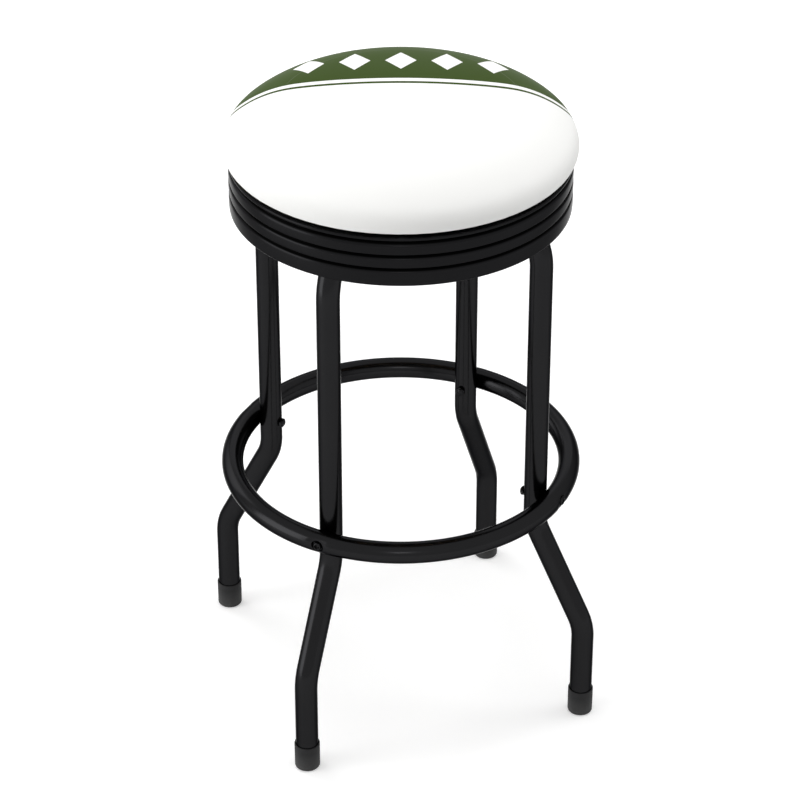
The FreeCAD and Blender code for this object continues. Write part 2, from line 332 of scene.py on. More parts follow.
def blackCoat(name, grooves=()):
    # in the grooves, given by their heights in millimetres, the coat's colour is painted nearly black as
    # painted shade
    look = coatLooks[name] | coatDetail
    paint = newPaint(name)
    where = paint.position()
    cloud = paint.noise(where, look["cloud"], 4)
    peel = paint.noise(where, look["orangePeel"], 2)
    specks = paint.noise(where, look["specks"], 1) - look["speckFrom"]
    specks = paint.clamp(specks * look["speckSharpness"])
    low, high = look["roughness"]
    cloudShare, speckShare = look["shares"]
    height = paint.heightOf(where) / mm
    # painted shade: over each groove the colour goes to near black
    grooveShade = 0
    for groove in grooves:
        inside = (look["grooveHalf"] - abs(height - groove)) / look["grooveBlur"]
        grooveShade = grooveShade + paint.clamp(inside + 0.5)
    wear = paint.clamp(cloud * cloudShare + specks * speckShare)
    tone = paint.mix(wear, look["colour"], look["worn"])
    return paint.surface({
        "Base Color": paint.mix(grooveShade, tone, look["grooveShadeColour"]),
        "Roughness": cloud * (high - low) + low,
        "Metallic": 1.0,
        "Specular Tint": (look["edgeTint"],) * 3 + (1,),
        "Normal": paint.bump(peel, look["peelRelief"]),
    })


rubberLook = {
    "colour": screen(25, 25, 26),
    "floorwardColour": screen(68, 68, 68),
    "lighterTop": 0.024,  # metres above the floor where the lighter colour fades out
    "lighter": 160,
    "lighterLeast": 0.45,
    "lighterVaries": 0.7,
    "grain": 1300,
    "grainRelief": (0.00012, 0.5),
    "roughness": (0.62, 0.82),
}


def capRubber():
    # the colour is lighter towards the floor: full at the floor, fading to none at its top, broken up by a
    # noise
    look = rubberLook
    paint = newPaint("capRubber")
    where = paint.position()
    lighter = paint.clamp(1 - paint.heightOf(where) / look["lighterTop"])
    lighter = lighter * (paint.noise(where, look["lighter"], 4) * look["lighterVaries"] + look["lighterLeast"])
    grain = paint.noise(where, look["grain"], 3, 0.7)
    low, high = look["roughness"]
    return paint.surface({
        "Base Color": paint.mix(paint.clamp(lighter), look["colour"], look["floorwardColour"]),
        "Roughness": grain * (high - low) + low,
        "Specular IOR Level": 0.3,
        "Normal": paint.bump(grain, look["grainRelief"]),
    })


zincLook = {
    "dull": screen(150, 152, 152),
    "bright": screen(196, 197, 193),
    "spangle": 210,
    "cloud": 30,
    "scratches": (900, 60, 300),
    "scratchRelief": (0.00002, 0.35),
    "shares": (0.35, 0.6),  # crystals and cloud, in the colour
    "roughShares": (0.12, 0.22),
    "roughness": 0.28,  # where it is smoothest
}


def zincPlate():
    # each crystal's own shade plus a cloud, under fine scratches one way
    look = zincLook
    paint = newPaint("zincPlate")
    where = paint.position()
    crystals = {"Vector": where, "Scale": look["spangle"]}
    spangle = paint.add("TexVoronoi", {"feature": "F1"}, crystals, "Color")
    tone = paint.add("SeparateColor", {}, {0: spangle})
    cloud = paint.noise(where, look["cloud"], 4)
    scratches = paint.noise(paint.stretched(where, look["scratches"]), 1, 3, 0.6)
    toneShare, cloudShare = look["shares"]
    toneRough, cloudRough = look["roughShares"]
    shine = paint.clamp(tone * toneShare + cloud * cloudShare)
    return paint.surface({
        "Base Color": paint.mix(shine, look["dull"], look["bright"]),
        "Metallic": 0.9,
        "Roughness": paint.clamp(tone * toneRough + cloud * cloudRough + look["roughness"]),
        "Normal": paint.bump(scratches, look["scratchRelief"]),
    })


ballLook = {
    "dark": screen(176, 176, 178),
    "bright": screen(205, 205, 206),
    "oil": 240,
    "roughness": (0.1, 0.26),
}


def ballSteel():
    # an oil film's noise makes both colour and roughness vary
    look = ballLook
    paint = newPaint("ballSteel")
    oil = paint.noise(paint.position(), look["oil"], 3)
    low, high = look["roughness"]
    return paint.surface({
        "Base Color": paint.mix(oil, look["dark"], look["bright"]),
        "Metallic": 1.0,
        "Roughness": oil * (high - low) + low,
    })


plywoodLook = {
    "pale": screen(206, 172, 124),
    "dark": screen(158, 118, 76),
    "ply": 0.0026,  # metres, one layer seen on the edge
    "plySharpness": 4,
    "plyShare": 0.8,
    "edgeFrom": 3,  # the higher, the steeper a face has to be to count as edge
    "figure": (2.2, 26, 2.2),
    "rings": 46,
    "pores": (60, 1400, 60),
    "shares": (0.22, 0.5, 0.35),  # rings, figure and pores
    "paleFrom": 0.05,
    "grainRelief": (0.00015, 0.5),
    "roughness": (0.62, 0.77),
}


def plywood():
    # the faces: a sine of a stretched noise gives the year rings; the edge: a sine of the height gives
    # the layers, and a face counts as edge the less it looks upwards
    look = plywoodLook
    paint = newPaint("plywood")
    where = paint.position()
    figure = paint.noise(paint.stretched(where, look["figure"]), 3, 4, 0.55)
    rings = paint.maths("SINE", figure * look["rings"])
    pores = paint.noise(paint.stretched(where, look["pores"]), 1, 2)
    upright = paint.heightOf(paint.add("NewGeometry", output="Normal"))
    onEdge = paint.clamp(1 - abs(upright) * look["edgeFrom"])
    wave = paint.maths("SINE", paint.heightOf(where) * (math.pi / look["ply"]))
    layers = paint.clamp(wave * look["plySharpness"] + 0.5)
    ringShare, figureShare, poreShare = look["shares"]
    grain = rings * ringShare + figure * figureShare + pores * poreShare
    grain = paint.clamp(grain - look["paleFrom"])
    low, high = look["roughness"]
    share = grain * (1 - onEdge) + layers * onEdge * look["plyShare"]
    return paint.surface({
        "Base Color": paint.mix(paint.clamp(share), look["pale"], look["dark"]),
        "Roughness": grain * (high - low) + low,
        "Specular IOR Level": 0.3,
        "Normal": paint.bump(grain, look["grainRelief"]),
    })


# the printed vinyl: plain white, with the far side of the seat olive, a row of white lozenges in the
# olive and a pinstripe in front of it; lengths in the print are millimetres
vinylLook = {
    "white": screen(244, 244, 242),
    "olive": screen(50, 69, 15),
    "upward": (0.3099, 0.9508),  # the print's upward direction in plan
    "oliveFrom": 42,  # from the seat's centre, along the upward direction
    "pinstripe": (29, 34),
    "lozengeRow": 92,
    "lozengeHalf": (17, 25),  # half width and half height
    "lozengePitch": 50,
    "lozengeCount": 5,
    "edgeBlur": 0.35,
    "creaseR": 130.5,
    "creaseHalf": 0.9,
    "soilAndShadeGrey": screen(150, 150, 146),
    "soilAndShadeShares": (0.02, 0.12),  # a cloud of soiling, and painted shade along the crease
    "cloud": 9,
    "grain": 900,
    "fine": 2600,
    "heightShares": (0.6, 0.3, 1.5),  # grain, fine grain and how deep the crease is
    "grainRelief": (0.00006, 0.4),
    "roughness": (0.36, 0.5),
    "inkSmoother": 0.04,  # how much less rough the print is
}


def seatVinyl():
    # up and right are the print's own directions in plan; a lozenge is where
    # 1 - |right| / half width - |up| / half height is above 0, repeated at the pitch
    look = vinylLook
    paint = newPaint("seatVinyl")
    where = paint.position()
    x = paint.add("SeparateXYZ", {}, {0: where})
    y = x.other("Y")
    ux, uy = look["upward"]
    up = (x * ux + y * uy) / mm
    right = (x * uy - y * ux) / mm

    def within(value, low, high):
        soft = look["edgeBlur"]
        return paint.clamp((value - low) / soft + 0.5) * paint.clamp((high - value) / soft + 0.5)

    stripe = within(up, look["oliveFrom"], 2 * place["seatR"]) + within(up, *look["pinstripe"])
    halfWide, halfHigh = look["lozengeHalf"]
    nearest = paint.maths("PINGPONG", right, look["lozengePitch"] / 2)
    lozenge = 1 - nearest / halfWide - abs(up - look["lozengeRow"]) / halfHigh
    reach = look["lozengePitch"] * look["lozengeCount"] / 2
    lozenges = paint.clamp(lozenge * halfWide / look["edgeBlur"] + 0.5) * within(right, -reach, reach)
    ink = paint.clamp(stripe - lozenges)

    grain = paint.add("TexVoronoi", {"feature": "F1"}, {"Vector": where, "Scale": look["grain"]})
    fine = paint.noise(where, look["fine"], 2)
    cloud = paint.noise(where, look["cloud"], 3)
    r = paint.add("VectorMath", {"operation": "LENGTH"}, {
        0: paint.add("CombineXYZ", {}, {0: x, 1: y})}, "Value") / mm
    crease = paint.clamp(1 - abs(r - look["creaseR"]) / look["creaseHalf"])
    low, high = look["roughness"]
    tinted = paint.mix(ink, look["white"], look["olive"])
    cloudShare, creaseShadeShare = look["soilAndShadeShares"]
    # grey from a cloud of soiling, plus painted shade along the crease ring
    soilAndCreaseShade = paint.clamp(cloud * cloudShare + crease * creaseShadeShare)
    grainHeight, fineHeight, creaseDepth = look["heightShares"]
    height = grain * grainHeight + fine * fineHeight - crease * creaseDepth
    return paint.surface({
        "Base Color": paint.mix(soilAndCreaseShade, tinted, look["soilAndShadeGrey"]),
        "Roughness": paint.clamp(cloud * (high - low) + low - ink * look["inkSmoother"]),
        "Specular IOR Level": 0.01,
        "Normal": paint.bump(height, look["grainRelief"]),
    })


finishes = {
    "legCoat": blackCoat("legCoat"),
    "capRubber": capRubber(),
    "zincPlate": zincPlate(),
    "ballSteel": ballSteel(),
    "plywood": plywood(),
    "seatVinyl": seatVinyl(),
}
print("finishes made:", len(finishes))


def dress(piece, finish, body, slot, *replaced):
    # gives a new piece its finish and the body that it moves with, and hides the CAD nodes that it stands
    # for
    piece.data.materials.append(finishes[finish])
    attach(piece, body)
    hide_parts(*replaced)
    print(piece.name, "made:", len(piece.data.polygons), "faces")


# leg frames: a round tube bent up one leg, across under the seat and down the other

legs = {
    "tubeR": 12.7,
    "footR": 231.5,
    "legR": 168.0,
    "footZ": 4.0,
    "knees": (119.0, 243.0),
    "kneeBend": 60.0,
    "shoulderBend": 76.2,
    "lapFlat": 13.5,
    "lapRamp": 14.0,
    "lapMargin": 6.0,
    "lapPoints": 61,
    "barMargin": 1.0,  # points count as the crossbar's from this far under its middle
    "sides": 40,
    "spacing": 9.0,
    "bendStepDeg": 3,
    "sharpDeg": 50,
}


def legFrame(name, angle, up, node):
    # up is 1 for the frame whose crossing is pressed from above, and -1 for the other
    crossbarZ = place["crossbarTop"] - legs["tubeR"]
    side = [
        (legs["footR"], legs["footZ"]),
        (legs["footR"], legs["knees"][0]),
        (legs["legR"], legs["knees"][1]),
        (legs["legR"], crossbarZ),
    ]
    corners = side + [(-r, z) for r, z in side[::-1]]
    bends = [legs["kneeBend"], legs["kneeBend"], legs["shoulderBend"]]
    line = bentLine(corners, bends + bends[::-1], legs["spacing"], legs["bendStepDeg"])
    # the crossbar's middle gets close points for its pressed crossing
    reach = legs["lapFlat"] + legs["lapRamp"] + legs["lapMargin"]
    count = legs["lapPoints"]
    middle = np.stack([np.linspace(reach, -reach, count), np.full(count, crossbarZ)], axis=1)
    onBar = (np.abs(line[:, 0]) < reach) & (line[:, 1] > crossbarZ - legs["barMargin"])
    first = int(np.argmax(onBar))
    line = np.concatenate([line[~onBar][:first], middle, line[~onBar][first:]])

    # a circle carried along the line: point = line + tube radius * (normal cos v + across sin v)
    tangent = np.gradient(line, axis=0)
    tangent /= np.linalg.norm(tangent, axis=1)[:, None]
    v = fullTurn(legs["sides"])
    r = line[:, :1] + legs["tubeR"] * tangent[:, 1:] * np.cos(v)
    z = line[:, 1:] - legs["tubeR"] * tangent[:, :1] * np.cos(v)
    across = legs["tubeR"] * np.sin(v) + 0 * r
    # the pressed crossing: nothing of this bar stands past its middle, then it ramps back to round
    press = legs["tubeR"] * easeStep((np.abs(r) - legs["lapFlat"]) / legs["lapRamp"])
    pressed = np.where(up > 0, np.minimum(z, crossbarZ + press), np.maximum(z, crossbarZ - press))
    z = np.where(np.abs(r) < reach, pressed, z)
    a = math.radians(angle)
    x = r * math.cos(a) - across * math.sin(a)
    y = r * math.sin(a) + across * math.cos(a)
    points = np.stack([x, y, z], axis=-1)
    ends = points[[0, -1]].mean(axis=1)
    rows, cols = points.shape[:2]
    points = np.concatenate([
        np.repeat(ends[:1, None], cols, axis=1), points, np.repeat(ends[1:, None], cols, axis=1)])
    piece = makePiece(name, points, gridQuads(rows + 2, cols, closeCols=True), legs["sharpDeg"])
    dress(piece, "legCoat", "stand", "black_steel", node)


legFrame("legFrameLower", 45, 1, "leg_frame_lower")
legFrame("legFrameUpper", 135, -1, "leg_frame_upper")


# foot caps: moulded rubber, a little narrower at the floor, with a rounded top lip

caps = {
    "outerR": 14.3,
    "floorR": 14.15,
    "height": 32.0,
    "baseT": 4.0,
    "gripR": 12.72,
    "edge": 2.6,
    "lip": 0.7,
    "innerLip": 0.42,
    "seatBend": 0.3,
    "spacing": 3.0,
    "bendStepDeg": 15,
    "sides": 64,
    "sharpDeg": 60,
}


def footCaps():
    # a cup's section turned about its own axis, once at each foot
    corners = [
        (0, 0), (caps["floorR"], 0), (caps["outerR"], caps["height"]),
        (caps["gripR"], caps["height"]), (caps["gripR"], caps["baseT"]), (0, caps["baseT"])]
    bends = [caps["edge"], caps["lip"], caps["innerLip"], caps["seatBend"]]
    profile = bentLine(corners, bends, caps["spacing"], caps["bendStepDeg"])
    shape = lathe(profile, caps["sides"])
    spots = polar(legs["footR"], np.radians(place["legAngles"]), 0)
    piece = makePiece("footCaps", *several([shape + spot for spot in spots]), caps["sharpDeg"])
    dress(piece, "capRubber", "stand", "foot_rubber", "foot_caps")


footCaps()


# foot ring: a round tube hoop, pressed to a saddle on each leg, with a shallow press and in it a recess
# for each bolt head

ring = {
    "circleR": 190.5,
    "tubeR": 12.1,
    "saddleFit": 0.05,
    "saddleBlend": 0.35,
    "saddleReach": 30.0,  # how near a leg's axis a saddle may move points
    "pressDepth": 0.7,
    "pressFlatR": 7.0,
    "pressR": 15.0,
    "recessDepth": 4.2,
    "recessFloorR": 5.4,
    "recessRimR": 8.8,
    "recessRise": 1.15,  # the ramp goes on past the tube's outer side by this much
    "recessMargin": 1.5,
    "recessBlend": 0.12,
    "along": 720,
    "around": 128,
    "crowding": 0.2,
}


def footRing():
    # angles crowd together at the four legs, and round the tube at its outer and inner sides
    turn = fullTurn(ring["along"])
    legPhase = math.radians(place["legAngles"][0])
    turn = turn - ring["crowding"] * np.sin(len(place["legAngles"]) * (turn - legPhase))
    turn = turn[:, None]
    v = fullTurn(ring["around"])
    v = (v - ring["crowding"] * np.sin(2 * v))[None, :]
    out = ring["circleR"] + ring["tubeR"] * np.cos(v)
    x, y = out * np.cos(turn), out * np.sin(turn)
    z = ring["tubeR"] * np.sin(v) + 0 * turn
    for angle in place["legAngles"]:
        a = math.radians(angle)
        ahead = x * math.cos(a) + y * math.sin(a) - legs["legR"]
        across = -x * math.sin(a) + y * math.cos(a)
        # saddle: points inside the leg move straight out to its surface
        away = np.hypot(ahead, across)
        near = away < ring["saddleReach"]
        clear = smoothMax(away, legs["tubeR"] + ring["saddleFit"], ring["saddleBlend"])
        seated = np.where(near, clear, away)
        grow = seated / np.maximum(away, 1e-6)
        ahead, across = ahead * grow, across * grow
        # press: the outer side sinks, least towards the press's rim and the tube's top and bottom
        q = np.hypot(across, z)
        outside = (ahead > 0) & (np.cos(v) > 0)
        sink = 1 - easeStep((q - ring["pressFlatR"]) / (ring["pressR"] - ring["pressFlatR"]))
        ahead = ahead - np.where(outside, ring["pressDepth"] * sink * np.clip(np.cos(v), 0, 1), 0)
        # recess: the outer side goes no further out than a flat floor with a steep ramp round it
        floor = ring["circleR"] + ring["tubeR"] - legs["legR"] - ring["recessDepth"]
        ramp = easeStep((q - ring["recessFloorR"]) / (ring["recessRimR"] - ring["recessFloorR"]))
        limit = floor + ring["recessDepth"] * ring["recessRise"] * ramp
        dished = outside & (q < ring["recessRimR"] + ring["recessMargin"])
        ahead = np.where(dished, -smoothMax(-ahead, -limit, ring["recessBlend"]), ahead)
        moved = near | (outside & (q < ring["pressR"]))
        x = np.where(moved, (ahead + legs["legR"]) * math.cos(a) - across * math.sin(a), x)
        y = np.where(moved, (ahead + legs["legR"]) * math.sin(a) + across * math.cos(a), y)
    points = np.stack([x, y, z + place["ringZ"]], axis=-1)
    piece = makePiece("footRing", points, gridQuads(*points.shape[:2], True, True))
    dress(piece, "legCoat", "stand", "black_steel", "foot_ring")


footRing()


# ring bolts and band screws: small round heads with a cross slot, and plain shanks

ringBolt = {
    "headR": 4.8,
    "headH": 4.2,
    "roundness": 8.0,  # of the head: 2 is half an ellipse, more is squarer
    "shankR": 3.0,
    "length": 46.3,
    "slot": (0.9, 3.4, 1.7),  # half width, reach and depth of the cross slot
    "sides": 48,
}
bandScrew = {
    "headR": 4.0,
    "headH": 1.8,
    "roundness": 2.2,
    "shankR": 2.0,
    "length": 10.0,
    "slot": (0.8, 2.5, 1.2),
    "sides": 40,
}
turnedScrew = {
    "headRings": 22,
    "rimShare": 0.97,  # how far out on the curve of the head its rim lies
    "pointFrom": 0.9,  # shares of the shank's length and radius
    "pointR": 0.8,
    "slotBlur": 0.25,
    "slotFade": 0.35,
    "headOnly": 0.05,  # the slot is cut above this height
    "sharpDeg": 45,
}


def slottedScrew(size):
    # a turned screw, head above z = 0; over the cross slot the head's height drops by the slot's depth,
    # which fades towards the slot's ends
    head, height = size["headR"], size["headH"]
    shank, length = size["shankR"], size["length"]
    t = np.linspace(0, 1, turnedScrew["headRings"])
    rise = np.sqrt(1 - (turnedScrew["rimShare"] * t) ** size["roundness"])
    dome = np.stack([head * t, height * rise], axis=1)
    under = np.array([(head, 0), (shank, 0), (shank, -length * turnedScrew["pointFrom"])])
    tip = np.array([(shank * turnedScrew["pointR"], -length), (0, -length)])
    points = lathe(np.concatenate([dome, under, tip]), size["sides"])
    halfWide, reach, depth = size["slot"]
    x, y = np.abs(points[..., 0]), np.abs(points[..., 1])
    inSlot = easeStep((halfWide - np.minimum(x, y)) / turnedScrew["slotBlur"] + 0.5)
    fade = np.clip((reach - np.maximum(x, y)) / (reach * turnedScrew["slotFade"]), 0, 1)
    onHead = points[..., 2] > turnedScrew["headOnly"]
    points[..., 2] -= np.where(onHead, depth * inSlot * fade, 0)
    return points


def ringBolts():
    # at each leg, with the head standing on the floor of the ring's recess
    floor = ring["circleR"] + ring["tubeR"] - ring["recessDepth"]
    shapes = atLegs(slottedScrew(ringBolt), floor)
    piece = makePiece("ringBolts", *several(shapes), turnedScrew["sharpDeg"])
    dress(piece, "legCoat", "stand", "black_steel", "ring_bolts")


ringBolts()


# nuts: six flats cut by a cone at each end; the domed ones go on to a closed dome

hexNut = {
    "flats": 10.0,
    "faceR": 4.9,
    "pastCorners": 6.2,  # a radius just outside the corners
    "chamfer": 0.5,
    "sides": 96,
    "sharpDeg": 35,
}
acorn = {"height": 3.3, "shoulderR": 5.0, "domeR": 4.3, "domeH": 2.0, "domeRings": 9}
studNut = {"bore": 3.05}


def hexRows(rows):
    # rows of (height, cone radius): a point lies at the nearer of the flat and the cone
    turn = fullTurn(hexNut["sides"])
    flat = hexNut["flats"] / 2 / np.cos((turn % (np.pi / 3)) - np.pi / 6)
    z, cone = np.array(rows).T[:, :, None]
    return polar(np.minimum(flat, cone), turn, z)


def hexSide(height, topR):
    # the flats between a chamfer at each end
    past, chamfer = hexNut["pastCorners"], hexNut["chamfer"]
    return [(0, hexNut["faceR"]), (chamfer, past), (height - chamfer, past), (height, topR)]


def acornNuts():
    # six flats, then a quarter ellipse of dome; inside each leg, pointing inwards
    h = acorn["height"]
    lift = np.linspace(0, np.pi / 2, acorn["domeRings"])
    dome = list(zip(h + acorn["domeH"] * np.sin(lift), acorn["domeR"] * np.cos(lift)))
    shape = hexRows([(0, 0)] + hexSide(h, acorn["shoulderR"]) + dome) * np.array([1, 1, -1])
    shapes = atLegs(shape, legs["legR"] - legs["tubeR"])
    piece = makePiece("acornNuts", *several(shapes), hexNut["sharpDeg"])
    dress(piece, "legCoat", "stand", "black_steel", "ring_acorn_nuts")


acornNuts()


# swivel hardware: plain nuts, threaded stud ends, balls

stud = {
    "r": 3.0,
    "pitch": 1.0,
    "threadDepth": 0.45,
    "threaded": 12.0,
    "threadStep": 0.125,
    "threadIn": 0.8,
    "threadOut": 1.5,
    "taper": 0.5,
    "taperH": 0.6,
    "sides": 32,
    "sharpDeg": 50,
}


def atStuds(shape, z=0):
    # the shape once at each stud, lifted by z
    reach = float(np.hypot(*((boxOf("swivel_studs")[1][:2] - stud["r"]))))
    return several([shape + spot for spot in polar(reach, np.radians(place["legAngles"]), z)])


def studNuts():
    # a closed section: up the flats from the bore and back down inside it
    low, high = boxOf("stud_nuts")
    h, bore = high[2] - low[2], studNut["bore"]
    shape = hexRows([(0, bore)] + hexSide(h, hexNut["faceR"]) + [(h, bore), (0, bore)])
    piece = makePiece("studNuts", *atStuds(shape, low[2]), hexNut["sharpDeg"])
    dress(piece, "zincPlate", "stand", "zinc_steel", "stud_nuts")


def swivelStuds():
    # radius = stud radius less the thread depth times a triangle wave of
    # (height / pitch - angle / 2 pi)
    low, high = boxOf("swivel_studs")
    threadTop = low[2] + stud["threaded"]
    z = np.r_[np.arange(low[2], threadTop, stud["threadStep"]), high[2]][:, None]
    turn = fullTurn(stud["sides"])[None, :]
    wave = np.abs(((z / stud["pitch"] - turn / (2 * np.pi)) % 1) * 2 - 1)
    fade = easeStep((z - low[2]) / stud["threadIn"]) * easeStep((threadTop - z) / stud["threadOut"])
    taper = stud["taper"] * (1 - easeStep((z - low[2]) / stud["taperH"]))
    r = stud["r"] - taper - stud["threadDepth"] * wave * fade
    shape = polar(r, turn, z)
    middle = shape.mean(axis=1, keepdims=True) + 0 * shape
    shape = np.concatenate([middle[:1], shape, middle[-1:]])
    piece = makePiece("swivelStuds", *atStuds(shape), stud["sharpDeg"])
    dress(piece, "zincPlate", "stand", "zinc_steel", "swivel_studs")


studNuts()
swivelStuds()

balls = {"r": 3.175, "circleR": 45.0, "count": 12, "rings": 17, "sides": 24}


def bearingBalls():
    # a half circle turned about its axis, at equal angles round the ball circle
    lift = np.linspace(-np.pi / 2, np.pi / 2, balls["rings"])
    shape = lathe(balls["r"] * np.stack([np.cos(lift), np.sin(lift)], axis=1), balls["sides"])
    low, high = boxOf("swivel_balls")
    spots = polar(balls["circleR"], fullTurn(balls["count"]), (low[2] + high[2]) / 2)
    piece = makePiece("bearingBalls", *several([shape + spot for spot in spots]))
    dress(piece, "ballSteel", "ball_ring", "ball_steel", "swivel_balls")


bearingBalls()


# trim band: rolled steel, ribs a little convex between three grooves, turned-in lower edge, flange on top

band = {
    "outerR": 185.2,
    "wall": 1.0,
    "grooves": (660.7, 644.6, 629.2),
    "grooveDepth": (2.4, 2.1, 2.1),
    "grooveHalf": (2.1, 1.7, 1.7),
    "ribCrown": 0.4,
    "edge": 1.6,
    "roll": ((1.2, 0.15), (2.0, 0.9), (1.9, 1.9)),  # inwards from the edge's round, and up from the bottom
    "flange": 22.5,
    "flangeRound": 0.4,
    "innerTrim": 0.3,
    "rows": 150,
    "sides": 288,
}
# the band's coat gets painted shade over its three grooves
finishes["bandCoat"] = blackCoat("bandCoat", band["grooves"])


def trimBand():
    # one closed section, down the outside and up the inside, turned about the stool's axis
    bottom, top = bandLow[2], bandHigh[2]
    # down the outer side: radius = outer radius less each groove's bell and the rib's drop towards
    # its ends
    z = np.linspace(top, bottom, band["rows"])
    drop = np.zeros_like(z)
    for centre, depth, half in zip(band["grooves"], band["grooveDepth"], band["grooveHalf"]):
        drop += depth * np.exp(-(((z - centre) / half) ** 2))
    bounds = np.array([top, *band["grooves"], bottom])
    middle = (bounds[:-1] + bounds[1:]) / 2
    halfRib = (bounds[:-1] - bounds[1:]) / 2
    rib = np.clip(np.searchsorted(-bounds, -z, side="right") - 1, 0, len(middle) - 1)
    drop += band["ribCrown"] * ((z - middle[rib]) / halfRib[rib]) ** 2
    # both edges are rounded over: drop = edge - sqrt(edge^2 - depth past the start of the round^2)
    edge = band["edge"]
    past = np.clip(edge - np.minimum(top - z, z - bottom), 0, edge)
    drop += edge - np.sqrt(edge**2 - past**2)
    outer = np.stack([band["outerR"] - drop, z], axis=1)
    inner = outer[::-1] - np.array([band["wall"], 0])
    under = top - band["wall"]
    inner = inner[(inner[:, 1] > bottom + edge) & (inner[:, 1] < under - band["innerTrim"])]
    flangeR = band["outerR"] - band["flange"]
    roundR = flangeR + band["flangeRound"]
    roll = np.array([(band["outerR"] - edge - inwards, bottom + up) for inwards, up in band["roll"]])
    flange = np.array([
        (inner[-1, 0], under), (roundR, under), (flangeR, top - band["wall"] / 2), (roundR, top)])
    profile = np.concatenate([outer, roll, inner, flange])
    points = lathe(profile, band["sides"])
    piece = makePiece("trimBand", points, gridQuads(*points.shape[:2], True, True))
    dress(piece, "bandCoat", "seat", "black_steel", "trim_band")


trimBand()


def bandScrews():
    # four, heads down under the band's flange
    low, high = boxOf("band_screws")
    shape = slottedScrew(bandScrew) * np.array([1, 1, -1])
    spots = polar(high[0] - bandScrew["headR"], fullTurn(4), low[2] + bandScrew["headH"])
    piece = makePiece("bandScrews", *several([shape + spot for spot in spots]), turnedScrew["sharpDeg"])
    dress(piece, "zincPlate", "seat", "zinc_steel", "band_screws")


bandScrews()


# seat cushion: the vinyl skin from crown to hem, and inside it the pocket that the board fills

cushion = {
    "widestH": 12.0,
    "edgeR": 26.0,
    "shoulderR": 120.0,
    "shoulderDeg": 42.0,
    "tuckR": 9.0,
    "tuckDeg": 62.0,
    "coverT": 1.0,
    "hemW": 22.0,
    "hemBend": 2.5,
    "hemSpacing": 2.0,
    "arcPoints": 40,
    "grid": 89,
    "crowding": 0.22,
    "boardRoom": 0.8,
    "sliver": 0.1,  # a gap too thin to see
    "pocketBend": 0.3,
    "pocketSpacing": 3.0,
    "freeFrom": 3.0,  # how far under its widest height the skin is held
    "startLow": 0.4,  # how far the crown starts under its finished height
    "clothFrames": 20,
    "cap": 2.2,  # how far the cloth may move a point
    "gathers": 72,
    "gatherDepth": 0.18,
    "gatherTop": 8.0,  # above the board's underside
    "gatherFade": 6.0,
}
clothRun = {
    "quality": 6,
    "mass": 0.35,
    "tension_stiffness": 60,
    "compression_stiffness": 60,
    "shear_stiffness": 30,
    "bending_stiffness": 4,
    "use_pressure": True,
    "uniform_pressure_force": 4.0,
}


def cushionLine():
    # crown, shoulder, edge and tuck arcs in (radius, height), each tangent to the next, then the hem
    top, widest = place["seatTop"], place["boardZ"] + cushion["widestH"]
    edge, shoulder = cushion["edgeR"], cushion["shoulderR"]
    lean = math.radians(cushion["shoulderDeg"])
    edgeC = place["seatR"] - edge
    shoulderC = edgeC - math.sin(lean) * (shoulder - edge)
    shoulderZ = widest - math.cos(lean) * (shoulder - edge)
    rise = top - shoulderZ
    crown = (shoulderC**2 + rise**2 - shoulder**2) / (2 * (rise - shoulder))
    crownLean = math.atan2(shoulderC, shoulderZ - (top - crown))
    tuck = cushion["tuckR"]
    level = math.pi / 2
    spans = [
        (0, top - crown, crown, 0, crownLean),
        (shoulderC, shoulderZ, shoulder, crownLean, lean),
        (edgeC, widest, edge, lean, level),
        (place["seatR"] - tuck, widest, tuck, level, level + math.radians(cushion["tuckDeg"])),
    ]
    line = []
    for r, z, radius, first, last in spans:
        tilt = np.linspace(first, last, cushion["arcPoints"])[:, None]
        line.append(np.array([[r, z]]) + radius * np.concatenate([np.sin(tilt), np.cos(tilt)], axis=1))
    hemOuter = place["boardR"] + cushion["coverT"]
    hemInner = place["boardR"] - cushion["hemW"]
    hem = [line[-1][-1], (hemOuter, place["hemZ"]), (hemInner, place["hemZ"])]
    line.append(bentLine(hem, [cushion["hemBend"]], cushion["hemSpacing"])[1:])
    return np.concatenate(line)


def inflate(piece, pinned):
    # a cloth run that puffs the free part of the skin; no point moves further than the cap
    group = piece.vertex_groups.new(name="pinned")
    group.add(pinned.tolist(), 1.0, "REPLACE")
    cloth = piece.modifiers.new("cloth", "CLOTH")
    for name, setting in clothRun.items():
        setattr(cloth.settings, name, setting)
    cloth.settings.vertex_group_mass = "pinned"
    cloth.settings.effector_weights.gravity = 0
    scene = bpy.context.scene
    for step in range(1, cushion["clothFrames"] + 1):
        scene.frame_set(step)
    mesh = piece.data
    rest = np.empty(len(mesh.vertices) * 3, np.float32)
    mesh.vertices.foreach_get("co", rest)
    puffed = np.empty_like(rest)
    piece.evaluated_get(bpy.context.evaluated_depsgraph_get()).data.vertices.foreach_get("co", puffed)
    move = (puffed - rest).reshape(-1, 3)
    far = np.linalg.norm(move, axis=1)
    limit = cushion["cap"] * mm
    # a soft cap: length becomes limit * tanh(length / limit)
    move *= (limit * np.tanh(far / limit) / np.maximum(far, 1e-12))[:, None]
    piece.modifiers.remove(cloth)
    scene.frame_set(1)
    mesh.vertices.foreach_set("co", (rest.reshape(-1, 3) + move).ravel())
    mesh.update()
    print("cloth moved the skin by up to", round(float(far.max()) / mm, 2), "mm, mean",
          round(float(far.mean()) / mm, 2))


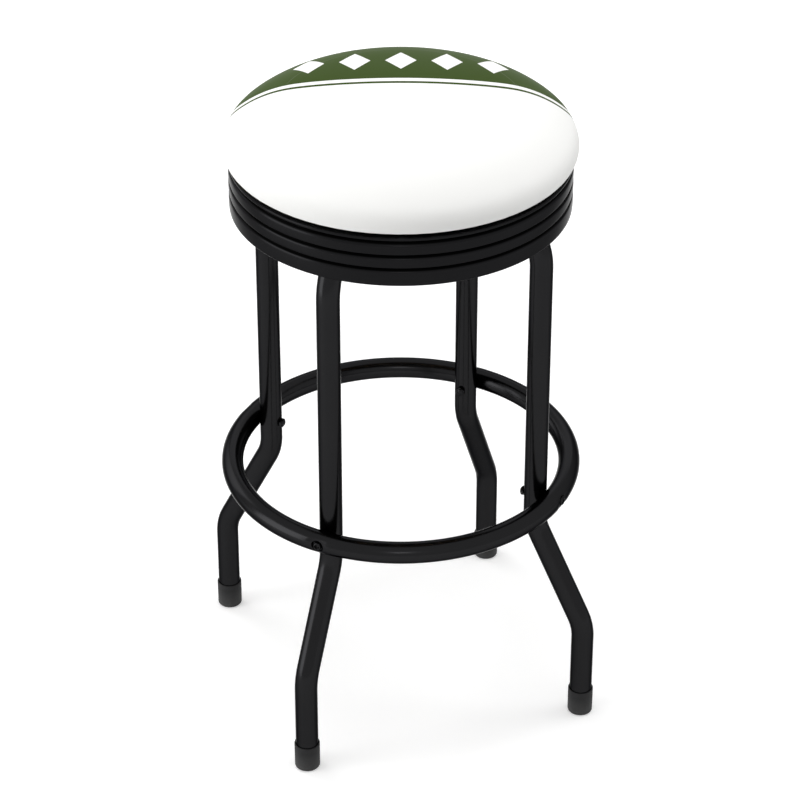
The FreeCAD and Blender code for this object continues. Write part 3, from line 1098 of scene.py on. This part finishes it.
def seatCushion():
    line = cushionLine()
    steps = runLengths(line)
    # a square grid wrapped onto the disc: ring = the larger of |a| and |b|, angle from their ratio
    n = cushion["grid"]
    a, b = np.meshgrid(np.linspace(-1, 1, n), np.linspace(-1, 1, n), indexing="ij")
    flatter = np.abs(a) >= np.abs(b)
    reach = np.maximum(np.abs(a), np.abs(b))
    turn = np.where(
        flatter,
        np.pi / 4 * b / np.where(flatter, np.where(a != 0, a, 1), 1) + np.where(a < 0, np.pi, 0),
        np.pi / 2 * np.sign(b) - np.pi / 4 * a / np.where(flatter, 1, b))
    # rings are closer together towards the edge and the tuck
    share = reach * (1 + cushion["crowding"]) - cushion["crowding"] * reach**3
    r = np.interp(share * steps[-1], steps, line[:, 0])
    z = np.interp(share * steps[-1], steps, line[:, 1])
    low = cushion["startLow"] * np.clip(1 - (r / place["seatR"]) ** 2, 0, 1)
    above = z > place["boardZ"] + cushion["widestH"]
    z = z - np.where(above, low, 0)
    # small gathers where the vinyl is drawn in under the board
    gatherTop = place["boardZ"] + cushion["gatherTop"]
    gather = easeStep((gatherTop - z) / cushion["gatherFade"]) * (r > place["boardR"])
    r = r + cushion["gatherDepth"] * gather * np.sin(cushion["gathers"] * turn)
    skin = polar(r, turn, z).reshape(-1, 3)

    # the pocket that the board fills is a second grid of the same kind, from the middle of the board's
    # top out, round its edge and in again under it; a strip of faces joins the two rims
    room, bend = cushion["boardRoom"], cushion["pocketBend"]
    boardR, boardTop = place["boardR"] + room, place["boardTop"] + room
    boardZ = place["boardZ"] - cushion["sliver"]
    hemInner = place["boardR"] - cushion["hemW"]
    corners = [(0, boardTop), (boardR, boardTop), (boardR, boardZ), (hemInner, boardZ)]
    pocket = bentLine(corners, [bend, bend], cushion["pocketSpacing"])
    steps = runLengths(pocket)
    r = np.interp(share * steps[-1], steps, pocket[:, 0])
    z = np.interp(share * steps[-1], steps, pocket[:, 1])
    inner = polar(r, turn, z).reshape(-1, 3)
    index = np.arange(n * n).reshape(n, n)
    rim = np.concatenate([index[:-1, 0], index[-1, :-1], index[:0:-1, -1], index[0, :0:-1]])
    rims = np.stack([rim, rim + n * n])
    faces = np.concatenate([
        gridQuads(n, n), gridQuads(n, n) + n * n, rims.ravel()[gridQuads(2, len(rim), closeCols=True)]])
    piece = makePiece("seatCushion", np.concatenate([skin, inner]), faces)
    co = np.array([vertex.co for vertex in piece.data.vertices]) / mm
    sliver = cushion["sliver"]
    inside = np.hypot(co[:, 0], co[:, 1]) < boardR + sliver
    inside &= co[:, 2] < boardTop + sliver
    fixed = inside | (co[:, 2] < place["boardZ"] + cushion["widestH"] - cushion["freeFrom"])
    inflate(piece, np.flatnonzero(fixed))
    smooth = piece.modifiers.new("smooth", "SUBSURF")
    smooth.levels = 1
    smooth.render_levels = 1
    dress(piece, "seatVinyl", "seat", "seat_vinyl", "seat_cover", "seat_foam")


seatCushion()


# CAD nodes that keep their own shape

keptShapes = {
    "zincPlate": (
        "swivel_lower_plate", "swivel_upper_plate", "swivel_pivot",
        "stud_washers", "board_screws", "cover_staples"),
    "plywood": ("seat_board",),
}
for finish, names in keptShapes.items():
    for name in names:
        for held in nodes[name].material_slots:
            held.material = finishes[finish]
print("CAD nodes dressed")


# stage: pale floor, soft white studio and the photograph's camera

studio = {
    "floorHalf": 9.0,  # metres
    "floorColour": screen(244, 244, 244),
    "floorCloud": screen(238, 238, 238),
    "cloud": 3,  # waves per metre
    "cloudShare": 0.2,
    "floorGlow": (0.3, 0.62),  # near the stool and far from it
    "glowFrom": 0.7,  # metres from the middle where the glow starts to rise
    "glowOver": 1.6,
    "ambient": 0.44,
    "lamps": {
        # place, aim, width and height in metres, power in watts, and the surfaces that it lights
        "top": ((-0.2, 0.1, 3.0), (0, 0, 0.7), (2.4, 2.4), 42, "matt"),
        "left": ((-2.3, 0.1, 0.75), (0, 0, 0.45), (1.1, 1.6), 19, "matt"),
        "leftCard": ((-2.24, 0.1, 0.74), (0, 0, 0.45), (1.45, 1.75), 24.5, "gloss"),
        "front": ((-1.1, -3.4, 2.6), (0, 0, 0.35), (0.6, 0.6), 6.5, "both"),
        "backLeft": ((-1.5, 2.7, 1.35), (0, 0, 0.35), (2.0, 2.1), 26, "both"),
        "backCard": ((1.0, 2.75, 1.45), (0, 0, 0.3), (2.6, 1.6), 18, "gloss"),
        "right": ((2.2, -0.1, 2.3), (0, 0, 0.7), (1.4, 1.4), 15, "matt"),
    },
    "lens": 141.41,
    "sensor": 36.0,
    "cameraAt": (-0.9223, -2.8296, 2.2415),
    "cameraAim": (-0.00085, 0.00028, 0.35496),
}


def aimed(name, data, at, aim):
    # a lamp or camera at a place, looking at another
    thing = bpy.data.objects.new(name, data)
    thing.location = at
    thing.rotation_euler = (Vector(aim) - Vector(at)).to_track_quat("-Z", "Y").to_euler()
    bpy.context.scene.collection.objects.link(thing)
    return thing


def seenDirectly(paint):
    # 1 for rays from the camera, and for those that reach here by reflection or through glass
    path = paint.add("LightPath", output="Is Camera Ray")
    return paint.clamp(path + path.other("Is Glossy Ray") + path.other("Is Transmission Ray"))


def stage():
    # the floor's glow rises with the distance from the stool's axis, so that it meets the white round it
    half = studio["floorHalf"] / mm
    corners = np.array([(-half, -half, 0), (half, -half, 0), (half, half, 0), (-half, half, 0)])
    floor = makePiece("floor", corners, [(0, 1, 2, 3)])
    paint = newPaint("paleFloor")
    where = paint.position()
    cloud = paint.noise(where, studio["cloud"], 3) * studio["cloudShare"]
    colour = paint.mix(cloud, studio["floorColour"], studio["floorCloud"])
    plain = paint.add("BsdfDiffuse", {}, {"Color": colour})
    away = paint.add("VectorMath", {"operation": "LENGTH"}, {0: where}, "Value")
    nearGlow, farGlow = studio["floorGlow"]
    rise = paint.clamp((away - studio["glowFrom"]) / studio["glowOver"])
    rise = rise * (farGlow - nearGlow) + nearGlow
    glow = paint.add("Emission", {}, {"Color": (1, 1, 1, 1), "Strength": seenDirectly(paint) * rise})
    paint.addOutput(paint.add("AddShader", {}, {0: plain, 1: glow}))
    floor.data.materials.append(paint.owner)

    world = bpy.data.worlds.new("studio")
    bpy.context.scene.world = world
    air = Paint(world)
    level = seenDirectly(air) * (1 - studio["ambient"]) + studio["ambient"]
    air.addOutput(air.add("Background", {}, {"Color": (1, 1, 1, 1), "Strength": level}), "OutputWorld")

    for name, (at, aim, (wide, tall), watts, lights) in studio["lamps"].items():
        lamp = bpy.data.lights.new(name, "AREA")
        lamp.shape = "RECTANGLE"
        lamp.size = wide
        lamp.size_y = tall
        lamp.energy = watts
        placed = aimed(name, lamp, at, aim)
        placed.visible_diffuse = lights != "gloss"
        placed.visible_glossy = lights != "matt"

    camera = bpy.data.cameras.new("camera")
    camera.lens = studio["lens"]
    camera.sensor_width = studio["sensor"]
    bpy.context.scene.camera = aimed("camera", camera, studio["cameraAt"], studio["cameraAim"])
    bpy.context.scene.view_settings.view_transform = "Standard"


stage()
print("stage set")
